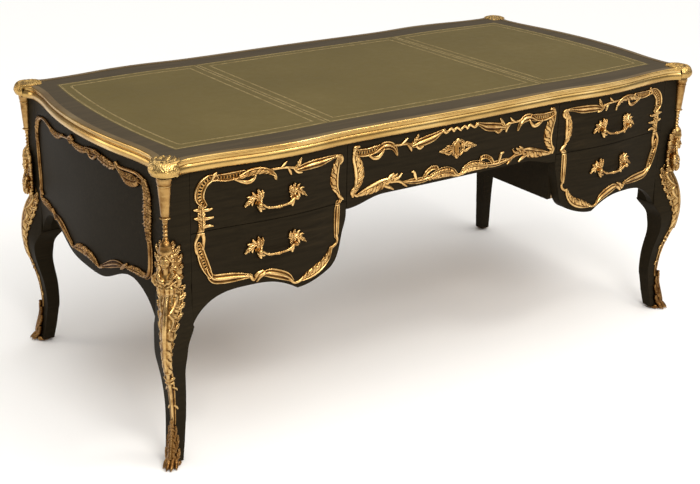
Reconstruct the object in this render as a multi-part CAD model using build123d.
from build123d import *
import os
from math import atan2, cos, degrees, radians, sin

# Louis XV style flat-topped writing desk (bureau plat) in ebonised wood with gilt-bronze mounts.
# Millimetres. Origin on the floor under the middle of the desk, +X to the sitter's right as seen
# from the front, the drawers open towards -Y, +Z up.

# ---------------------------------------------------------------- writing top
TOP_LENGTH = 1800.0          # over the four corner clasps, left to right
TOP_WIDTH = 900.0            # over the four corner clasps, front to back
WRITING_HEIGHT = 790.0       # floor to leather
TOP_THICKNESS = 34.0
EAR_RADIUS = 36.0            # rounded ear at each corner of the top
EAR_TO_SHOULDER = 62.0       # from an ear's centre to where its flare has died out
LONG_SHOULDER_IN = 20.0      # serpentine of the long edges, measured from the ears' line
LONG_BULGE_OUT = 2.0
LONG_DIP_IN = 9.0
LONG_CENTRE_IN = 5.0
END_SHOULDER_IN = 25.0       # bow of the short edges
END_BULGE_OUT = 8.0
END_CONVEX_SHARE = 0.72      # share of the bow that is convex before it turns to the flare
BULGE_AT = 0.59              # places of bulge and dip along each half of the front
DIP_AT = 0.38

# Bronze edge moulding: ovolo below, quirk, thin lip above that laps the wood.
MOULDING_SEAT = 11.0         # depth of the ovolo behind the edge line
LIP_WIDTH = 22.0
LIP_RISE = 1.0               # lip stands proud of the leather
LIP_DEPTH = 7.0
OVOLO_HEIGHT = 20.0
OVOLO_BULGE = 4.0
QUIRK_DEPTH = 7.0
CLASP_PROUD = 3.2            # corner clasps stand out from the moulding

LEATHER_THICKNESS = 1.6
LEATHER_INSET_LONG = 94.0
LEATHER_INSET_CORNER = 97.0
LEATHER_INSET_END = 70.0
LEATHER_CORNER_IN = 6.0      # the long borders draw in towards the corners
LEATHER_WAVE = 3.0
CENTRE_LEATHER_LENGTH = 732.0
LEATHER_GAP = 0.3

# ---------------------------------------------------------------- legs
POST_INSET = 32.0            # outer faces of the leg posts, in from the corners of the top
POST_SIZE = 64.0
KNEE_Z = 362.0               # where the aprons die into the legs
KNEE_REVEAL = 2.0            # aprons end this much above the knee
KNEE_RISE = 116.0            # the knee's swelling, up from the joint with the aprons
LEG_FOOT_Z = 8.0             # end of the wood inside its sabot

# ---------------------------------------------------------------- carcase
FRONT_THICKNESS = 22.0
FRONT_BULGE = 19.0           # serpentine of the front and back, out from the posts' faces
FRONT_DIP = 9.0
FRONT_CENTRE = 12.0
END_BOW = 20.0
END_THICKNESS = 22.0
KNEEHOLE_WIDTH = 744.0
SIDE_SETBACK = 9.5           # kneehole's sides, back from the line between the drawers
INNER_SIDE_THICKNESS = 14.0
PEDESTAL_FLOOR_Z = 454.0     # underside of the pedestal bottoms
PEDESTAL_FLOOR_THICKNESS = 12.0
DIVIDE_Z = 600.0             # line between upper and lower drawers
RAIL_HEIGHT = 22.0
RAIL_DEPTH = 36.0
DIVIDER_HEIGHT = 20.0
RUNNER_THICKNESS = 12.0
INNER_RUNNER_WIDTH = 20.0
GUIDE_SIZE = 11.0
GLUE_BLOCK = (60.0, 18.0, 18.0)

# Scalloped lower edge of each pedestal: belly, pointed drop, arch, then down into the leg.
INNER_EDGE_Z = 570.0
BELLY_Z = 408.0
DROP_Z = 403.0
ARCH_Z = 439.0
DROP_AT = 0.345              # shares of the pedestal's width from the kneehole outwards
ARCH_AT = 0.67
# Lower edge of the centre drawer and of the end aprons.
CENTRE_APRON_Z = 600.0
CENTRE_APRON_END_Z = 579.0
CENTRE_APRON_EASE = 118.0
END_LOBE_Z = 389.0
END_ARCH_Z = 447.0
END_ARCH_AT = 0.71           # share of the end panel's half width

# ---------------------------------------------------------------- drawers
FRONT_GAP = 2.0              # between neighbouring drawer fronts
TOP_GAP = 4.0
SEAT_GAP = 0.3
DRAWER_WALL = 11.0
DRAWER_BOTTOM = 6.0
DRAWER_BOTTOM_RISE = 7.0
GROOVE_DEPTH = 4.0
SIDE_CLEARANCE = 2.0
DRAWER_DEPTH = 640.0
CENTRE_DRAWER_DEPTH = 600.0
DRAWER_HEADROOM = 9.0

# ---------------------------------------------------------------- bronze mounts
MOUNT_THICKNESS = 6.0
MOUNT_GAP = 0.3              # between a curved mount and the wood that it is pinned to
JOINT_SPARE = 2.0            # wood left on the leg before its joint faces are planed flat
FRAME_MARGIN = 15.0          # frame's outer edge, in from the drawer front's edge
FRAME_WIDTH = 19.0
FRAME_JOINT = 1.0            # gap between the separately cast bars of a frame
BAND_STEPS = 6
CENTRE_FRAME_MARGIN = 8.0
END_FRAME_MARGIN = 18.0
SHELL_LENGTH = 72.0          # shell ornaments in the middle of the frames
CREST_LENGTH = 96.0
HANDLE_AT = 0.49             # handle's place across the pedestal drawer
UPPER_PIVOT_Z = 650.0
LOWER_PIVOT_Z = 529.0
POST_SPREAD = 52.0           # handle post, from the handle's middle
HANDLE_POST_RADIUS = 6.0
HANDLE_STANDOFF = 15.0       # bail axis in front of the drawer
BAIL_WIRE = 3.4
BAIL_DROP = 17.0
BAIL_HALF_WIDTH = 41.0
PIN_RADIUS = 2.4
PIN_CLEARANCE = 0.05
SHANK_RADIUS = 2.5
SHANK_CLEARANCE = 0.05
SHANK_LENGTH = 12.0          # threaded end inside the drawer
NUT_SIZE = 11.0
NUT_HEIGHT = 4.0
LEAF_LENGTH = 52.0
LEAF_WIDTH = 24.0
LEAF_THICKNESS = 5.0
LEAF_TILT = 48.0
ESCUTCHEON_Z = 682.0
ESCUTCHEON_LENGTH = 122.0
ESCUTCHEON_HEIGHT = 58.0
KEYHOLE_RADIUS = 3.5
KEYHOLE_SLOT = 11.0
LOCK_WIDTH = 56.0
LOCK_DEPTH = 12.0
LOCK_WALL = 2.0
LOCK_BELOW_KEY = 14.0
BOLT_WIDTH = 24.0
BOLT_LENGTH = 30.0
BOLT_CLEARANCE = 0.3
BOLT_TRAVEL = 9.0
CHUTE_TOP_RADIUS = 17.0
CHUTE_RADIUS = 10.0
BUST_AXIS_INSET = 30.0
HEAD_RADIUS = 21.0
HEAD_Z = 549.0
SHELL_THICKNESS = 5.0
SHELL_SPARE = 2.0            # metal left behind the knee leaf before it is fitted to the wood
# Width of the knee leaf's wings at the stations of the leg, ending as the thin arris strip.
KNEE_LEAF_WINGS = (13.0, 24.0, 27.0, 25.0, 18.0, 11.0, 7.0, 5.5, 5.0, 5.0, 5.5)
SABOT_THICKNESS = 5.0
SABOT_HEIGHT = 104.0
TOE_SPREAD = 5.0             # the sole stands out beyond the sock
BUST_LENGTH = 62.0           # bust, from the neck down to its foot

# ---------------------------------------------------------------- worked out from those
HALF_L = TOP_LENGTH / 2
HALF_W = TOP_WIDTH / 2
UNDERSIDE = WRITING_HEIGHT - TOP_THICKNESS
EAR_X = HALF_L - EAR_RADIUS
EAR_Y = HALF_W - EAR_RADIUS
POST_INNER = POST_INSET + POST_SIZE
POST_X = HALF_L - POST_INNER
POST_Y = HALF_W - POST_INNER
FRONT_FACE = HALF_W - POST_INSET
END_FACE = HALF_L - POST_INSET
BACK_OF_FRONT = FRONT_FACE - FRONT_THICKNESS
CARCASE_FRONT = BACK_OF_FRONT - SEAT_GAP
END_INNER = END_FACE - END_THICKNESS
JOINT_Z = KNEE_Z + KNEE_REVEAL
CABRIOLE = JOINT_Z - SABOT_HEIGHT
KNEE_X = KNEEHOLE_WIDTH / 2
SIDE_X = KNEE_X + INNER_SIDE_THICKNESS
FRONT_SPLIT = KNEE_X - SIDE_SETBACK
PED_IN = FRONT_SPLIT + FRONT_GAP / 2
PED_OUT = POST_X - FRONT_GAP / 2
PED_W = PED_OUT - PED_IN
CENTRE_HALF = FRONT_SPLIT - FRONT_GAP / 2
FRONT_TOP = UNDERSIDE - TOP_GAP
RAIL_Z = UNDERSIDE - RAIL_HEIGHT
RUNNER_TOP = DIVIDE_Z + DIVIDER_HEIGHT / 2
FLOOR_TOP = PEDESTAL_FLOOR_Z + PEDESTAL_FLOOR_THICKNESS
HANDLE_X = PED_IN + HANDLE_AT * PED_W
LOCK_Z = ESCUTCHEON_Z - LOCK_BELOW_KEY
FAR = TOP_LENGTH

PARTS = {}


# ---------------------------------------------------------------- small helpers
def block(x, y, z):
    """Box from three (low, high) pairs."""
    size = [max(p) - min(p) for p in (x, y, z)]
    middle = [(p[0] + p[1]) / 2 for p in (x, y, z)]
    return Pos(*middle) * Box(*size)


def flip_x(shape):
    return mirror(shape, about=Plane.YZ)


def flip_y(shape):
    return mirror(shape, about=Plane.XZ)


def all_corners(shape):
    """The front right corner's shape at all four corners."""
    return {
        "front_right": shape,
        "front_left": flip_x(shape),
        "rear_right": flip_y(shape),
        "rear_left": flip_x(flip_y(shape)),
    }


def along_y(face):
    """Elevation face, drawn as (x, z), made into a prism that runs through the whole desk."""
    return extrude(Plane.XZ * face, FAR, both=True)


def along_x(face):
    """Elevation face, drawn as (y, z), made into a prism that runs through the whole desk."""
    return extrude(Plane.YZ * face, FAR, both=True)


def closed(*curves):
    return make_face([edge for curve in curves for edge in curve.edges()])


def polyface(*points):
    return make_face(Polyline(*points, close=True))


def group(*solids):
    """Separate solids of one node."""
    flat = [solid for shape in solids for solid in shape.solids()]
    return Compound(children=flat)


def keep(name, shape):
    PARTS[name] = shape


# ---------------------------------------------------------------- serpentine lines in plan
class Bend:
    """One arc of a serpentine, kept as centre, radius and angles so that it offsets exactly."""

    def __init__(self, centre, radius, start, end, convex):
        self.centre, self.radius, self.convex = centre, radius, convex
        self.start, self.end = start, end

    def point(self, angle, inset):
        radius = self.radius - inset if self.convex else self.radius + inset
        x, y = self.centre
        return (x + radius * cos(radians(angle)), y + radius * sin(radians(angle)))

    def arc(self, inset):
        angles = (self.start, (self.start + self.end) / 2, self.end)
        return ThreePointArc(*[self.point(angle, inset) for angle in angles])

    def turned(self, section, z):
        """Revolve a section, drawn with x outwards from the line, along this bend."""
        x, y = self.point(self.start, 0)
        sign = 1 if self.convex else -1
        outwards = Vector(cos(radians(self.start)), sin(radians(self.start)), 0) * sign
        plane = Plane(origin=(x, y, z), x_dir=outwards, z_dir=outwards.cross(Vector(0, 0, 1)))
        axis = Axis((*self.centre, 0), (0, 0, 1))
        solid = revolve(plane * section, axis=axis, revolution_arc=abs(self.end - self.start))
        if self.end < self.start:
            return mirror(solid, about=Plane(origin=(x, y, 0), z_dir=plane.z_dir))
        return solid


def wave(crest, trough, share=0.5):
    """Two bends from a crest to a trough, both (x, distance from the desk's long axis).

    The line faces -Y. It leaves the crest and reaches the trough parallel to X, and share is the
    part of the way that the convex bend takes.
    """
    run, fall = trough[0] - crest[0], crest[1] - trough[1]
    turn = 2 * atan2(fall, abs(run))
    radii = abs(run) / sin(turn)
    convex, hollow = radii * share, radii * (1 - share)
    side = 1 if run > 0 else -1
    tilt = side * degrees(turn)
    first = Bend((crest[0], -crest[1] + convex), convex, -90, -90 + tilt, True)
    second = Bend((trough[0], -trough[1] - hollow), hollow, 90 + tilt, 90, False)
    return [first, second]


def flare(shoulder, ear):
    """Hollow bend from the shoulder to where it touches the ear, and the angle of that touch."""
    run, rise = ear[0] - shoulder[0], shoulder[1] - ear[1]
    radius = (run**2 + rise**2 - EAR_RADIUS**2) / (2 * (EAR_RADIUS - rise))
    centre = (shoulder[0], -shoulder[1] - radius)
    touch = degrees(atan2(radius + rise, run))
    return Bend(centre, radius, 90, touch, False), touch - 180


def serpentine(heights, inset):
    """Face of the desk in plan, from the right end to the left one, through crests and troughs."""
    end, bulge, dip, middle = heights
    bends = wave(middle, dip) + wave(bulge, dip)[::-1] + wave(bulge, end)
    arcs = [bend.arc(inset) for bend in bends]
    return arcs + [flip_x(arc) for arc in arcs]


# ---------------------------------------------------------------- outline of the top
def long_bends():
    """Right half of the front edge, from the middle of the desk to its ear."""
    middle = (0, HALF_W - LONG_CENTRE_IN)
    dip = (DIP_AT * HALF_L, HALF_W - LONG_DIP_IN)
    bulge = (BULGE_AT * HALF_L, HALF_W + LONG_BULGE_OUT)
    shoulder = (EAR_X - EAR_TO_SHOULDER, HALF_W - LONG_SHOULDER_IN)
    bend, touch = flare(shoulder, (EAR_X, EAR_Y))
    bends = wave(middle, dip) + wave(bulge, dip)[::-1] + wave(bulge, shoulder) + [bend]
    return bends, touch


def short_bends():
    """Half of an end edge, drawn as if it were a front edge and turned into place later."""
    shoulder = (EAR_Y - EAR_TO_SHOULDER, HALF_L - END_SHOULDER_IN)
    bend, touch = flare(shoulder, (EAR_Y, EAR_X))
    return wave((0, HALF_L + END_BULGE_OUT), shoulder, END_CONVEX_SHARE) + [bend], touch


def turn_to_end(shape):
    """From the drawing of an end edge to the front half of the desk's right end."""
    return mirror(Rot(0, 0, 90) * shape, about=Plane.XZ)


def ear_bend():
    """Convex bend round the front right ear, between the two flares' touching points."""
    _, on_front = long_bends()
    _, on_end = short_bends()
    return Bend((EAR_X, -EAR_Y), EAR_RADIUS, on_front, -90 - on_end, True)


def top_face(inset):
    half_front = [bend.arc(inset) for bend in long_bends()[0]]
    half_end = [turn_to_end(bend.arc(inset)) for bend in short_bends()[0]]
    quarter = half_front + half_end + [ear_bend().arc(inset)]
    return closed(*[piece for curve in quarter for piece in all_corners(curve).values()])


# ---------------------------------------------------------------- bronze edge of the top
def moulding_section():
    """Drawn with x outwards from the edge line and y up from the underside of the top."""
    quirk_top = TOP_THICKNESS - LIP_DEPTH
    lip_top = TOP_THICKNESS + LIP_RISE
    lip_middle = (quirk_top + lip_top) / 2
    bead = (lip_top - quirk_top) / 2
    return closed(
        Line((-MOULDING_SEAT, 0), (-OVOLO_BULGE, 0)),
        ThreePointArc((-OVOLO_BULGE, 0), (0, OVOLO_HEIGHT / 2), (-OVOLO_BULGE, OVOLO_HEIGHT)),
        Line((-OVOLO_BULGE, OVOLO_HEIGHT), (-QUIRK_DEPTH, OVOLO_HEIGHT)),
        Line((-QUIRK_DEPTH, OVOLO_HEIGHT), (-QUIRK_DEPTH, quirk_top)),
        ThreePointArc(
            (-QUIRK_DEPTH, quirk_top), (-QUIRK_DEPTH + bead, lip_middle), (-QUIRK_DEPTH, lip_top)
        ),
        Line((-QUIRK_DEPTH, lip_top), (-LIP_WIDTH, lip_top)),
        Line((-LIP_WIDTH, lip_top), (-LIP_WIDTH, quirk_top)),
        Line((-LIP_WIDTH, quirk_top), (-MOULDING_SEAT, quirk_top)),
        Line((-MOULDING_SEAT, quirk_top), (-MOULDING_SEAT, 0)),
    )


def clasp_section():
    """The moulding's section at the ears, thickened outwards and upwards into a leafy boss."""
    quirk_top = TOP_THICKNESS - LIP_DEPTH
    crown = TOP_THICKNESS + LIP_RISE + CLASP_PROUD
    lower, upper, inner = -OVOLO_BULGE / 2, -OVOLO_BULGE, -LIP_WIDTH - CLASP_PROUD
    return closed(
        Line((-MOULDING_SEAT, 0), (lower, 0)),
        ThreePointArc((lower, 0), (CLASP_PROUD, TOP_THICKNESS / 2), (upper, TOP_THICKNESS)),
        ThreePointArc((upper, TOP_THICKNESS), (-LIP_WIDTH / 2, crown), (inner, TOP_THICKNESS)),
        Line((inner, TOP_THICKNESS), (-LIP_WIDTH, TOP_THICKNESS)),
        Line((-LIP_WIDTH, TOP_THICKNESS), (-LIP_WIDTH, quirk_top)),
        Line((-LIP_WIDTH, quirk_top), (-MOULDING_SEAT, quirk_top)),
        Line((-MOULDING_SEAT, quirk_top), (-MOULDING_SEAT, 0)),
    )


def moulding(bends):
    """Half a length of edge moulding, one revolved piece for each bend."""
    section = moulding_section()
    half = bends[0].turned(section, UNDERSIDE)
    for bend in bends[1:]:
        half = half + bend.turned(section, UNDERSIDE)
    return half


def leather_face():
    corner_x = HALF_L - LEATHER_INSET_CORNER
    long_y = HALF_W - LEATHER_INSET_LONG
    corner_y = long_y - LEATHER_CORNER_IN
    bulge, dip = (BULGE_AT * HALF_L, long_y + LEATHER_WAVE), (DIP_AT * HALF_L, long_y - LEATHER_WAVE)
    front = serpentine(((corner_x, corner_y), bulge, dip, (0, long_y)), 0)
    end = ThreePointArc((corner_x, -corner_y), (HALF_L - LEATHER_INSET_END, 0), (corner_x, corner_y))
    return closed(*front, *[flip_y(arc) for arc in front], end, flip_x(end))


def make_top():
    half_front = moulding(long_bends()[0])
    front = half_front + flip_x(half_front)
    half_end = turn_to_end(moulding(short_bends()[0]))
    end = half_end + flip_y(half_end)
    clasp = ear_bend().turned(clasp_section(), UNDERSIDE)
    keep("top_moulding", group(front, flip_y(front), end, flip_x(end)))
    keep("corner_clasps", group(*all_corners(clasp).values()))

    rebate = UNDERSIDE + TOP_THICKNESS - LIP_DEPTH
    board = Pos(0, 0, UNDERSIDE) * extrude(top_face(MOULDING_SEAT), TOP_THICKNESS - LIP_DEPTH)
    board = board + Pos(0, 0, rebate) * extrude(top_face(LIP_WIDTH), LIP_DEPTH)
    recess = Pos(0, 0, WRITING_HEIGHT - LEATHER_THICKNESS) * extrude(leather_face(), LEATHER_THICKNESS)
    keep("top_board", board - recess)
    half = CENTRE_LEATHER_LENGTH / 2
    spans = {
        "leather_left": (-FAR, -half - LEATHER_GAP),
        "leather_centre": (-half, half),
        "leather_right": (half + LEATHER_GAP, FAR),
    }
    for name, span in spans.items():
        keep(name, recess & block(span, (-FAR, FAR), (0, FAR)))


# ---------------------------------------------------------------- legs
# Each station of the cabriole: height, then how far the outer corner, the shoulders (where the
# side faces start) and the inner faces lie in from the corner of the top.
LEG_STATIONS = (
    (JOINT_Z + KNEE_RISE, POST_INSET, POST_INSET, POST_INNER),
    (JOINT_Z + 0.65 * KNEE_RISE, POST_INSET - 8, POST_INSET, POST_INNER),
    (JOINT_Z + 0.35 * KNEE_RISE, POST_INSET - 19, POST_INSET - 1, POST_INNER),
    (JOINT_Z, POST_INSET - 24.5, POST_INSET - 6, POST_INNER),
    (SABOT_HEIGHT + 0.9 * CABRIOLE, POST_INSET - 25, POST_INSET - 15, POST_INNER - 14),
    (SABOT_HEIGHT + 0.77 * CABRIOLE, POST_INSET - 22.5, POST_INSET - 20, POST_INNER - 25),
    (SABOT_HEIGHT + 0.62 * CABRIOLE, POST_INSET - 15, POST_INSET - 14, POST_INNER - 28),
    (SABOT_HEIGHT + 0.46 * CABRIOLE, POST_INSET - 4, POST_INSET - 4, POST_INNER - 24),
    (SABOT_HEIGHT + 0.31 * CABRIOLE, POST_INSET + 3, POST_INSET + 3, POST_INNER - 20),
    (SABOT_HEIGHT + 0.16 * CABRIOLE, POST_INSET + 6.5, POST_INSET + 6.5, POST_INNER - 19),
    (SABOT_HEIGHT, POST_INSET + 5.5, POST_INSET + 5.5, POST_INNER - 22),
)
# The wood goes on inside the sabot as a plain tapering peg.
PEG_STATIONS = (
    LEG_STATIONS[-1],
    (0.53 * SABOT_HEIGHT, POST_INSET + 1, POST_INSET + 1, POST_INNER - 28),
    (LEG_FOOT_Z, POST_INSET - 5, POST_INSET - 5, POST_INNER - 36),
)


def kite(z, outer, shoulder, inner):
    """Kite with its sharp end at the desk's outer corner, edges parallel to the desk's sides."""
    points = (
        (HALF_L - outer, -HALF_W + outer),
        (HALF_L - shoulder, -HALF_W + inner),
        (HALF_L - inner, -HALF_W + inner),
        (HALF_L - inner, -HALF_W + shoulder),
    )
    return Pos(0, 0, z) * polyface(*points)


def leg_loft(stations, ruled=False):
    return loft([kite(*station) for station in reversed(stations)], ruled=ruled)


def grown(stations, gap):
    """The same stations moved out of the wood by gap on every side."""
    return [(z, out - gap, shoulder - gap, inner + gap) for z, out, shoulder, inner in stations]


def leg():
    """Post and cabriole in one, its inner faces dead flat where the aprons and panels join."""
    spare = [(z, out, sh, inn + (JOINT_SPARE if z >= JOINT_Z else 0)) for z, out, sh, inn in LEG_STATIONS]
    outer_x, outer_y = HALF_L - POST_INSET, -HALF_W + POST_INSET
    post = block((POST_X, outer_x), (outer_y, -POST_Y), (LEG_STATIONS[0][0], UNDERSIDE))
    cabriole = leg_loft(spare)
    cabriole = cabriole - block((0, POST_X), (-FAR, 0), (JOINT_Z, FAR))
    cabriole = cabriole - block((0, FAR), (-POST_Y, 0), (JOINT_Z, FAR))
    return cabriole + post + leg_loft(PEG_STATIONS, ruled=True)


def angle_section(station, wing):
    """Blank for the bronze angle round the leg's outer corner, sunk into the wood for cutting."""
    z, outer, shoulder, inner = station
    corner = Vector(HALF_L - outer, -HALF_W + outer, 0)
    along_front = (Vector(HALF_L - inner, -HALF_W + shoulder, 0) - corner).normalized()
    out_of_front = Vector(-along_front.Y, along_front.X, 0)
    diagonal = Vector(1, -1, 0).normalized()
    stretch = 1 / out_of_front.dot(diagonal)
    proud, sunk = MOUNT_GAP + SHELL_THICKNESS, -SHELL_SPARE

    def across(point):
        """The same point on the end face, mirrored about the corner's diagonal."""
        return Vector(HALF_L - (HALF_W + point.Y), -HALF_W + (HALF_L - point.X), 0)

    tip = corner + along_front * wing + out_of_front * proud
    tip_back = corner + along_front * wing + out_of_front * sunk
    points = (
        corner + diagonal * stretch * proud,
        tip,
        tip_back,
        corner + diagonal * stretch * sunk,
        across(tip_back),
        across(tip),
    )
    return Pos(0, 0, z) * polyface(*[(point.X, point.Y) for point in points])


def espagnolette():
    """Chute and female bust above, acanthus knee leaf and arris strip below, in one casting."""
    neck_z = HEAD_Z - HEAD_RADIUS
    hair_z = HEAD_Z + HEAD_RADIUS
    foot_z = neck_z - BUST_LENGTH
    bust = closed(
        Line((0, UNDERSIDE), (CHUTE_TOP_RADIUS, UNDERSIDE)),
        Spline(
            (CHUTE_TOP_RADIUS, UNDERSIDE),
            (CHUTE_RADIUS + 2, UNDERSIDE - 60),
            (CHUTE_RADIUS, hair_z + 50),
            (CHUTE_RADIUS + 4, hair_z + 12),
            (HEAD_RADIUS - 2, HEAD_Z + 10),
            (HEAD_RADIUS, HEAD_Z - 2),
            (CHUTE_RADIUS, neck_z - 4),
            (HEAD_RADIUS + 4, neck_z - 28),
            (HEAD_RADIUS - 2, foot_z),
        ),
        Line((HEAD_RADIUS - 2, foot_z), (0, foot_z)),
        Line((0, foot_z), (0, UNDERSIDE)),
    )
    axis_x, axis_y = HALF_L - BUST_AXIS_INSET, -HALF_W + BUST_AXIS_INSET
    plane = Plane(origin=(axis_x, axis_y, 0), x_dir=(1, -1, 0), z_dir=(-1, -1, 0))
    figure = revolve(plane * bust, axis=Axis((axis_x, axis_y, 0), (0, 0, 1)))
    sections = [angle_section(*pair) for pair in zip(LEG_STATIONS, KNEE_LEAF_WINGS)]
    blank = figure + loft(sections[::-1])

    outer_x, outer_y = HALF_L - POST_INSET + MOUNT_GAP, -HALF_W + POST_INSET - MOUNT_GAP
    post = block((0, outer_x), (outer_y, 0), (LEG_STATIONS[0][0], FAR))
    return blank - leg_loft(grown(LEG_STATIONS, MOUNT_GAP)) - post


def sabot():
    """Bronze shoe: a close sock round the ankle that spreads into a scrolled toe."""
    ankle, heel, foot = grown(PEG_STATIONS, SABOT_THICKNESS)
    sole = grown([foot], TOE_SPREAD)[0][1:]
    above_sole = grown([foot], TOE_SPREAD - 2)[0][1:]
    sections = (
        ankle,
        (0.63 * SABOT_HEIGHT, *heel[1:]),
        (0.33 * SABOT_HEIGHT, *foot[1:]),
        (0.13 * SABOT_HEIGHT, *above_sole),
        (0, *sole),
    )
    return leg_loft(sections) - leg_loft(grown(PEG_STATIONS, MOUNT_GAP), ruled=True)


def make_legs():
    wood = leg()
    mount = espagnolette()
    for corner, shape in all_corners(wood).items():
        keep("leg_" + corner, shape)
    for corner, shape in all_corners(mount).items():
        keep("espagnolette_" + corner, group(shape))
    keep("sabots", group(*all_corners(sabot()).values()))


# ---------------------------------------------------------------- front and end surfaces
def front_arcs(proud):
    """Serpentine face of the front in plan, moved out by proud."""
    end = (POST_X, FRONT_FACE)
    bulge = (BULGE_AT * HALF_L, FRONT_FACE + FRONT_BULGE)
    dip = (DIP_AT * HALF_L, FRONT_FACE + FRONT_DIP)
    return serpentine((end, bulge, dip, (0, FRONT_FACE + FRONT_CENTRE)), -proud)


def front_slab(back, proud):
    """Everything between the plane y = -back and the serpentine face moved out by proud."""
    face_y = -FRONT_FACE - proud
    ends = (
        Line((POST_X, face_y), (POST_X, -back)),
        Line((POST_X, -back), (-POST_X, -back)),
        Line((-POST_X, -back), (-POST_X, face_y)),
    )
    return extrude(closed(*front_arcs(proud), *ends), UNDERSIDE)


def front_skin(thickness):
    """Thin layer on the serpentine face, for the bronze mounts."""
    near, far = -FRONT_FACE, -FRONT_FACE - thickness
    ends = [Line((x, near), (x, far)) for x in (POST_X, -POST_X)]
    return extrude(closed(*front_arcs(0), *front_arcs(thickness), *ends), UNDERSIDE)


def end_slab(inner, outer):
    """Layer of the bowed end between two depths, inner None for the panel's flat inside."""
    far_x = END_FACE + outer
    far = ThreePointArc((far_x, -POST_Y), (far_x + END_BOW, 0), (far_x, POST_Y))
    if inner is None:
        near, near_x = Line((END_INNER, -POST_Y), (END_INNER, POST_Y)), END_INNER
    else:
        near_x = END_FACE + inner
        near = ThreePointArc((near_x, -POST_Y), (near_x + END_BOW, 0), (near_x, POST_Y))
    ends = [Line((near_x, y), (far_x, y)) for y in (POST_Y, -POST_Y)]
    return extrude(closed(near, far, *ends), UNDERSIDE)


# ---------------------------------------------------------------- elevation outlines
def belly_line(width):
    """Lower inner corner of the right-hand pedestal, down to the pointed drop."""
    return Spline(
        (PED_IN, INNER_EDGE_Z),
        (PED_IN + 0.026 * width, INNER_EDGE_Z - 50),
        (PED_IN + 0.05 * width, BELLY_Z + 64),
        (PED_IN + 0.095 * width, BELLY_Z + 29),
        (PED_IN + 0.165 * width, BELLY_Z + 12),
        (PED_IN + 0.25 * width, BELLY_Z),
        (PED_IN + DROP_AT * width, DROP_Z),
        tangents=((0, -1), (1, 0)),
    )


def arch_line(width):
    """Lower edge of the right-hand pedestal from the pointed drop to the leg."""
    return Spline(
        (PED_IN + DROP_AT * width, DROP_Z),
        (PED_IN + (DROP_AT + 0.05) * width, ARCH_Z - 23),
        (PED_IN + (DROP_AT + ARCH_AT) / 2 * width, ARCH_Z - 4),
        (PED_IN + ARCH_AT * width, ARCH_Z),
        (PED_IN + 0.85 * width, ARCH_Z - 13),
        (PED_IN + 0.94 * width, (ARCH_Z + KNEE_Z) / 2),
        (PED_IN + width, JOINT_Z),
    )


def pedestal_face(top, outer):
    """Right-hand pedestal seen from the front, drawn as (x, z)."""
    width = outer - PED_IN
    return closed(
        belly_line(width),
        arch_line(width),
        Line((outer, JOINT_Z), (outer, top)),
        Line((outer, top), (PED_IN, top)),
        Line((PED_IN, top), (PED_IN, INNER_EDGE_Z)),
    )


def ease_line(half):
    """Right-hand end of the centre drawer's lower edge."""
    return Spline(
        (half, CENTRE_APRON_END_Z),
        (half - CENTRE_APRON_EASE / 2, (CENTRE_APRON_Z + CENTRE_APRON_END_Z) / 2),
        (half - CENTRE_APRON_EASE, CENTRE_APRON_Z),
        tangents=((-1, 0), (-1, 0)),
    )


def centre_face(top, half):
    """Centre drawer seen from the front, its lower edge eased down at both ends."""
    ease = ease_line(half)
    flat = half - CENTRE_APRON_EASE
    return closed(
        ease,
        Line((flat, CENTRE_APRON_Z), (-flat, CENTRE_APRON_Z)),
        flip_x(ease),
        Line((-half, CENTRE_APRON_END_Z), (-half, top)),
        Line((-half, top), (half, top)),
        Line((half, top), (half, CENTRE_APRON_END_Z)),
    )


def end_apron_line():
    half = [
        (POST_Y, JOINT_Z),
        (0.93 * POST_Y, (END_ARCH_Z + KNEE_Z) / 2),
        (0.81 * POST_Y, END_ARCH_Z - 10),
        (END_ARCH_AT * POST_Y, END_ARCH_Z),
        (0.46 * POST_Y, (END_ARCH_Z + END_LOBE_Z) / 2 + 4),
        (0.3 * POST_Y, END_LOBE_Z + 9),
    ]
    return Spline(*half, (0, END_LOBE_Z), *[(-y, z) for y, z in reversed(half)])


def end_face(top):
    """End panel seen from the side, drawn as (y, z): a middle lobe between two arches."""
    return closed(
        end_apron_line(),
        Line((-POST_Y, JOINT_Z), (-POST_Y, top)),
        Line((-POST_Y, top), (POST_Y, top)),
        Line((POST_Y, top), (POST_Y, JOINT_Z)),
    )


def band(line, margin, start=0.0, end=1.0, left=True):
    """Bar of a bronze frame that follows a line, margin off it on its left or right side."""
    near, far = [], []
    for step in range(BAND_STEPS + 1):
        share = start + (end - start) * step / BAND_STEPS
        point, heading = line @ share, line % share
        side = Vector(-heading.Y, heading.X, 0) * (1 if left else -1)
        near.append(point + side * margin)
        far.append(point + side * (margin + FRAME_WIDTH))
    return closed(
        Spline(*near), Spline(*far), Line(near[0], far[0]), Line(near[-1], far[-1])
    )


def bar(x, z):
    """Straight bar of a frame, from (low, high) pairs."""
    return Pos((x[0] + x[1]) / 2, (z[0] + z[1]) / 2) * Rectangle(x[1] - x[0], z[1] - z[0])


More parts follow.
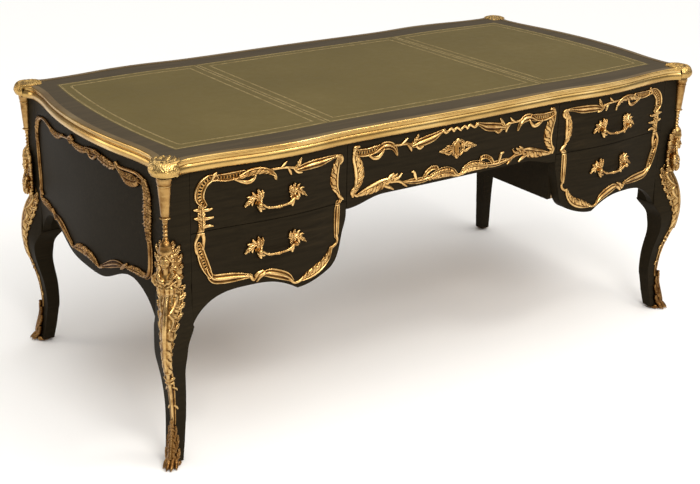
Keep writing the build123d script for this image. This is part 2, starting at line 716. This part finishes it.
# ---------------------------------------------------------------- carcase
def make_carcase():
    rail = block((-POST_X, POST_X), (-CARCASE_FRONT, -CARCASE_FRONT + RAIL_DEPTH), (RAIL_Z, UNDERSIDE))
    bolt_y = -BACK_OF_FRONT + LOCK_DEPTH / 2
    mortise_half = BOLT_WIDTH / 2 + 1
    mortise_depth = LOCK_DEPTH / 2 - LOCK_WALL + 1
    mortise = block(
        (-mortise_half, mortise_half),
        (bolt_y - mortise_depth, bolt_y + mortise_depth),
        (RAIL_Z, RAIL_Z + BOLT_TRAVEL + 2),
    )
    keep("front_top_rail", rail - mortise)

    side = block((KNEE_X, SIDE_X), (-CARCASE_FRONT, BACK_OF_FRONT), (PEDESTAL_FLOOR_Z, UNDERSIDE)) - rail
    keep("inner_side_right", side)
    keep("inner_side_left", flip_x(side))

    posts = block((POST_X, FAR), (POST_Y, FAR), (0, FAR))
    posts = posts + flip_y(posts)
    floor = block(
        (SIDE_X, END_INNER), (-CARCASE_FRONT, BACK_OF_FRONT), (PEDESTAL_FLOOR_Z, FLOOR_TOP)
    ) - posts
    keep("pedestal_bottoms", group(floor, flip_x(floor)))

    divider_back = -CARCASE_FRONT + RAIL_DEPTH
    divider_z = (RUNNER_TOP - DIVIDER_HEIGHT, RUNNER_TOP)
    divider = block((SIDE_X, POST_X), (-CARCASE_FRONT, divider_back), divider_z)
    keep("divider_rails", group(divider, flip_x(divider)))

    make_runners(divider_back)
    make_ends()
    make_back()


def make_runners(divider_back):
    """Runners under the drawers' sides and the strips that guide them."""
    runner_z = (RUNNER_TOP - RUNNER_THICKNESS, RUNNER_TOP)
    drawer_side = POST_X - SIDE_CLEARANCE * 2
    guide_x = (POST_X - SIDE_CLEARANCE, POST_X - SIDE_CLEARANCE + GUIDE_SIZE)
    upper_outer = block((drawer_side - DRAWER_WALL - 4, END_INNER), (-POST_Y, POST_Y), runner_z)
    upper_inner = block((SIDE_X, SIDE_X + INNER_RUNNER_WIDTH), (divider_back, BACK_OF_FRONT), runner_z)
    upper_guide = block(guide_x, (-POST_Y, POST_Y), (RUNNER_TOP, RUNNER_TOP + GUIDE_SIZE))
    lower_guide = block(guide_x, (-POST_Y, POST_Y), (FLOOR_TOP, FLOOR_TOP + GUIDE_SIZE))
    centre = block((KNEE_X - INNER_RUNNER_WIDTH, KNEE_X), (-CARCASE_FRONT, BACK_OF_FRONT), runner_z)
    centre = centre + block(
        (CENTRE_HALF, KNEE_X), (-CARCASE_FRONT, BACK_OF_FRONT), (RUNNER_TOP, RUNNER_TOP + GUIDE_SIZE)
    )
    right = [upper_outer, upper_inner, upper_guide, lower_guide, centre]
    keep("drawer_runners", group(*right, *[flip_x(strip) for strip in right]))

    length, width, height = GLUE_BLOCK
    blocks = []
    for y in (-POST_Y / 2, POST_Y / 2):
        along = (y - length / 2, y + length / 2)
        at_end = block((END_INNER - width, END_INNER), along, (UNDERSIDE - height, UNDERSIDE))
        blocks += [at_end, flip_x(at_end)]
    for x in (0, (SIDE_X + POST_X) / 2, -(SIDE_X + POST_X) / 2):
        blocks.append(
            block(
                (x - length / 2, x + length / 2),
                (BACK_OF_FRONT - width, BACK_OF_FRONT),
                (UNDERSIDE - height, UNDERSIDE),
            )
        )
    keep("glue_blocks", group(*blocks))


def make_ends():
    panel = end_slab(None, 0) & along_x(end_face(UNDERSIDE))
    keep("end_panel_right", panel)
    keep("end_panel_left", flip_x(panel))

    apron = end_apron_line()
    top = UNDERSIDE - TOP_GAP - END_FRAME_MARGIN
    side = (POST_Y - END_FRAME_MARGIN - FRAME_WIDTH, POST_Y - END_FRAME_MARGIN)
    low = END_ARCH_Z + END_FRAME_MARGIN + FRAME_WIDTH
    bars = [band(apron, END_FRAME_MARGIN, 0.16, 0.84, left=False)]
    bars.append(bar((-side[0] + FRAME_JOINT, side[0] - FRAME_JOINT), (top - FRAME_WIDTH, top)))
    bars.append(bar(side, (low, top)))
    bars.append(bar((-side[1], -side[0]), (low, top)))
    skin = end_slab(0, MOUNT_THICKNESS)
    frame = group(*[skin & along_x(piece) for piece in bars])
    keep("end_frame_right", frame)
    keep("end_frame_left", group(flip_x(frame)))


def make_back():
    """The back repeats the front with fixed panels, frames and handles."""
    slab = flip_y(front_slab(BACK_OF_FRONT, 0))
    panel = slab & along_y(pedestal_face(UNDERSIDE, POST_X))
    keep("back_panel_right", panel)
    keep("back_panel_left", flip_x(panel))
    keep("back_panel_centre", slab & along_y(centre_face(UNDERSIDE, PED_IN)))

    upper, lower = pedestal_frames()
    mounts = [flip_y(upper), flip_y(lower), flip_x(flip_y(upper)), flip_x(flip_y(lower))]
    mounts += [flip_y(centre_frame()), flip_y(cartouche())]
    for pivot_z in (UPPER_PIVOT_Z, LOWER_PIVOT_Z):
        posts = handle_posts(pivot_z, 0)
        mounts += [flip_y(posts), flip_x(flip_y(posts))]
        bail = handle_bail(pivot_z)
        mounts += [flip_y(bail), flip_x(flip_y(bail))]
    keep("back_mounts", group(*mounts))


# ---------------------------------------------------------------- drawer bronzes
def cast(*outlines):
    """Bronze castings of one thickness on the serpentine front, from their outlines in elevation."""
    skin = front_skin(MOUNT_THICKNESS) & block((-FAR, FAR), (-FAR, 0), (0, UNDERSIDE))
    return group(*[skin & along_y(outline) for outline in outlines])


def pedestal_frames():
    """Rocaille frame of one pedestal in bars, parted at the line between its two drawers."""
    top = FRONT_TOP - FRAME_MARGIN
    inner = (PED_IN + FRAME_MARGIN, PED_IN + FRAME_MARGIN + FRAME_WIDTH)
    outer = (PED_OUT - FRAME_MARGIN - FRAME_WIDTH, PED_OUT - FRAME_MARGIN)
    across = (inner[1] + FRAME_JOINT, outer[0] - FRAME_JOINT)
    crest = Ellipse(CREST_LENGTH / 2, FRAME_WIDTH * 0.65)
    crest = Pos((across[0] + across[1]) / 2, top - FRAME_WIDTH / 2) * crest
    upper_z = (DIVIDE_Z + FRONT_GAP, top)
    upper = cast(
        bar(inner, upper_z),
        bar(outer, upper_z),
        bar(across, (top - FRAME_WIDTH, top)) + crest,
    )
    lower_top = DIVIDE_Z - FRONT_GAP
    corner_z = ARCH_Z + FRAME_MARGIN
    arch = band(arch_line(PED_W), FRAME_MARGIN, 0.12, 0.72)
    shell = Ellipse(SHELL_LENGTH / 2, FRAME_WIDTH * 0.7)
    shell = Pos(PED_IN + 0.56 * PED_W, corner_z + FRAME_WIDTH / 2) * shell
    lower = cast(
        bar(inner, (INNER_EDGE_Z + FRAME_JOINT, lower_top)),
        bar(outer, (corner_z, lower_top)),
        band(belly_line(PED_W), FRAME_MARGIN, 0.0, 0.9),
        (arch + shell) - bar(outer, (0, lower_top)),
    )
    return upper, lower


def centre_frame():
    """Frame of the middle drawer: two garlands and a scroll at each end."""
    top = FRONT_TOP - CENTRE_FRAME_MARGIN
    low = CENTRE_APRON_Z + CENTRE_FRAME_MARGIN
    outer = CENTRE_HALF - CENTRE_FRAME_MARGIN
    inner = outer - FRAME_WIDTH
    garland = inner - FRAME_JOINT
    return cast(
        bar((-garland, garland), (top - FRAME_WIDTH, top)),
        bar((-garland, garland), (low, low + FRAME_WIDTH)),
        bar((inner, outer), (low, top)),
        bar((-outer, -inner), (low, top)),
    )


def cartouche():
    """Keyhole escutcheon: an upright shell with a leaf to each side."""
    wings = Pos(0, ESCUTCHEON_Z) * Ellipse(ESCUTCHEON_LENGTH / 2, ESCUTCHEON_HEIGHT / 5)
    shell = Pos(0, ESCUTCHEON_Z) * Ellipse(ESCUTCHEON_LENGTH / 4.5, ESCUTCHEON_HEIGHT / 2)
    return cast(wings + shell)


def keyhole():
    slot = Pos(0, ESCUTCHEON_Z - KEYHOLE_SLOT / 2) * Rectangle(KEYHOLE_RADIUS, KEYHOLE_SLOT)
    outline = Pos(0, ESCUTCHEON_Z) * Circle(KEYHOLE_RADIUS) + slot
    return along_y(outline) & block((-FAR, FAR), (-FAR, -BACK_OF_FRONT + LOCK_WALL), (0, FAR))


def handle_centre_y():
    """Face of the drawer at the handle, found on the serpentine curve itself."""
    column = block((HANDLE_X - 1, HANDLE_X + 1), (-FAR, 0), (UPPER_PIVOT_Z, UPPER_PIVOT_Z + 1))
    return (front_slab(0, 0) & column).bounding_box().min.Y


def handle_posts(pivot_z, shank):
    """Two leaf-shaped posts, each with an eye for the bail's pin and a shank for its nut."""
    skin = front_skin(LEAF_THICKNESS)
    face_y = handle_centre_y()
    axis_y = face_y - HANDLE_STANDOFF
    posts = []
    for side in (-1, 1):
        x = HANDLE_X + side * POST_SPREAD
        outline = Ellipse(LEAF_LENGTH / 2, LEAF_WIDTH / 2)
        outline = Pos(x + side * 4, pivot_z + 8) * Rot(0, 0, -side * LEAF_TILT) * outline
        leaf = skin & along_y(outline) & block((0, FAR), (-FAR, 0), (0, UNDERSIDE))
        stem_length = HANDLE_STANDOFF + HANDLE_POST_RADIUS
        stem = Rot(90, 0, 0) * Cylinder(HANDLE_POST_RADIUS, stem_length + 2)
        stem = Pos(x, face_y - stem_length / 2 + 1, pivot_z) * stem
        eye = Rot(0, 90, 0) * Cylinder(PIN_RADIUS + PIN_CLEARANCE, HANDLE_POST_RADIUS * 4)
        eye = Pos(x, axis_y, pivot_z) * eye
        post = (leaf + stem) - eye
        behind = front_slab(BACK_OF_FRONT, 0)
        post = post - behind
        if shank:
            rod_length = FRONT_THICKNESS + FRONT_BULGE + SHANK_LENGTH + 4
            rod_y = -BACK_OF_FRONT + SHANK_LENGTH - rod_length / 2
            post = post + Pos(x, rod_y, pivot_z) * Rot(90, 0, 0) * Cylinder(SHANK_RADIUS, rod_length)
            post = post - eye
        posts.append(post)
    return group(*posts)


def handle_nuts(pivot_z):
    nuts = []
    for side in (-1, 1):
        x = HANDLE_X + side * POST_SPREAD
        hexagon = RegularPolygon(NUT_SIZE / 2, 6) - Circle(SHANK_RADIUS + SHANK_CLEARANCE)
        nut = extrude(Plane(origin=(x, -BACK_OF_FRONT, pivot_z), z_dir=(0, 1, 0)) * hexagon, NUT_HEIGHT)
        nuts.append(nut)
    return nuts


def shank_holes(pivot_z):
    holes = []
    for side in (-1, 1):
        x = HANDLE_X + side * POST_SPREAD
        drill = Rot(90, 0, 0) * Cylinder(SHANK_RADIUS + SHANK_CLEARANCE, FRONT_THICKNESS * 6)
        holes.append(Pos(x, -BACK_OF_FRONT, pivot_z) * drill)
    return holes


def handle_bail(pivot_z):
    """Drooping bail that swings on two pins along X."""
    axis_y = handle_centre_y() - HANDLE_STANDOFF
    half = BAIL_HALF_WIDTH
    bend = (half * 0.8, -BAIL_DROP * 0.72)
    points = ((-half, 0), (-bend[0], bend[1]), (0, -BAIL_DROP), bend, (half, 0))
    path = Plane.XZ * Spline(*points, tangents=((0, -1), (0, 1)))
    wire = sweep(Plane(origin=path @ 0, z_dir=path % 0) * Circle(BAIL_WIRE), path=path)
    pin_end = POST_SPREAD + HANDLE_POST_RADIUS - 1
    for side in (-1, 1):
        pin = Pos(side * (half + pin_end) / 2, 0, 0) * Rot(0, 90, 0) * Cylinder(PIN_RADIUS, pin_end - half)
        wire = wire + pin + Pos(side * half, 0, 0) * Sphere(BAIL_WIRE + 0.4)
    return Pos(HANDLE_X, axis_y, pivot_z) * wire


# ---------------------------------------------------------------- drawers
def drawer_box(x, z, depth):
    """Two sides, back and bottom; the bottom runs in grooves in the sides and the back."""
    low_y, high_y = -BACK_OF_FRONT, -BACK_OF_FRONT + depth
    wall = DRAWER_WALL
    bottom = block(
        (x[0] + wall - GROOVE_DEPTH, x[1] - wall + GROOVE_DEPTH),
        (low_y, high_y - wall + GROOVE_DEPTH),
        (z[0] + DRAWER_BOTTOM_RISE, z[0] + DRAWER_BOTTOM_RISE + DRAWER_BOTTOM),
    )
    near = block((x[0], x[0] + wall), (low_y, high_y), z) - bottom
    far = block((x[1] - wall, x[1]), (low_y, high_y), z) - bottom
    back = block((x[0] + wall, x[1] - wall), (high_y - wall, high_y), z) - bottom
    return group(near, far, back, bottom)


def make_pedestal_drawers():
    slab = front_slab(BACK_OF_FRONT, 0)
    whole = slab & along_y(pedestal_face(FRONT_TOP, PED_OUT))
    in_front = (-FAR, 0)
    box_x = (SIDE_X + SIDE_CLEARANCE, POST_X - SIDE_CLEARANCE * 2)
    frames = dict(zip(("upper", "lower"), pedestal_frames()))
    spans = {
        "upper": (DIVIDE_Z + FRONT_GAP / 2, UNDERSIDE),
        "lower": (0, DIVIDE_Z - FRONT_GAP / 2),
    }
    boxes = {
        "upper": (RUNNER_TOP + SEAT_GAP, RAIL_Z - DRAWER_HEADROOM),
        "lower": (FLOOR_TOP + SEAT_GAP, RUNNER_TOP - DIVIDER_HEIGHT - DRAWER_HEADROOM / 2),
    }
    pivots = {"upper": UPPER_PIVOT_Z, "lower": LOWER_PIVOT_Z}
    for level, span in spans.items():
        front = whole & block((0, FAR), in_front, span)
        for hole in shank_holes(pivots[level]):
            front = front - hole
        box = drawer_box(box_x, boxes[level], DRAWER_DEPTH)
        posts = group(handle_posts(pivots[level], 1), *handle_nuts(pivots[level]))
        bail = handle_bail(pivots[level])
        pieces = {
            "drawer_front_": front,
            "drawer_box_": box,
            "frame_": group(frames[level]),
            "handle_posts_": posts,
            "bail_": bail,
        }
        for prefix, shape in pieces.items():
            keep(prefix + level + "_right", shape)
            keep(prefix + level + "_left", flip_x(shape))


def make_centre_drawer():
    slab = front_slab(BACK_OF_FRONT, 0) & block((-FAR, FAR), (-FAR, 0), (0, UNDERSIDE))
    front = (slab & along_y(centre_face(FRONT_TOP, CENTRE_HALF))) - keyhole()
    keep("drawer_front_centre", front)
    half = CENTRE_HALF - SIDE_CLEARANCE
    keep(
        "drawer_box_centre",
        drawer_box((-half, half), (RUNNER_TOP + SEAT_GAP, RAIL_Z - DRAWER_HEADROOM), CENTRE_DRAWER_DEPTH),
    )
    keep("frame_centre", group(centre_frame()))
    keep("escutcheon", cartouche() - keyhole())

    y = (-BACK_OF_FRONT, -BACK_OF_FRONT + LOCK_DEPTH)
    top = RAIL_Z - SEAT_GAP
    case = block((-LOCK_WIDTH / 2, LOCK_WIDTH / 2), y, (LOCK_Z, top))
    cavity_y = (y[0] + LOCK_WALL, y[1] - LOCK_WALL)
    half_bolt = BOLT_WIDTH / 2
    half_works = LOCK_WIDTH / 2 - LOCK_WALL
    works = block((-half_works, half_works), cavity_y, (LOCK_Z + LOCK_WALL, top - BOLT_LENGTH))
    channel = block(
        (-half_bolt - BOLT_CLEARANCE, half_bolt + BOLT_CLEARANCE), cavity_y, (top - BOLT_LENGTH - 1, top)
    )
    keep("lock_case", case - works - channel - keyhole())
    bolt = block(
        (-half_bolt, half_bolt),
        (cavity_y[0] + BOLT_CLEARANCE, cavity_y[1] - BOLT_CLEARANCE),
        (top - BOLT_LENGTH, top),
    )
    keep("lock_bolt", bolt)


make_top()
make_legs()
make_carcase()
make_pedestal_drawers()
make_centre_drawer()

os.makedirs("parts", exist_ok=True)
for name, shape in PARTS.items():
    export_step(shape, os.path.join("parts", name + ".step"))
print(len(PARTS), "nodes")
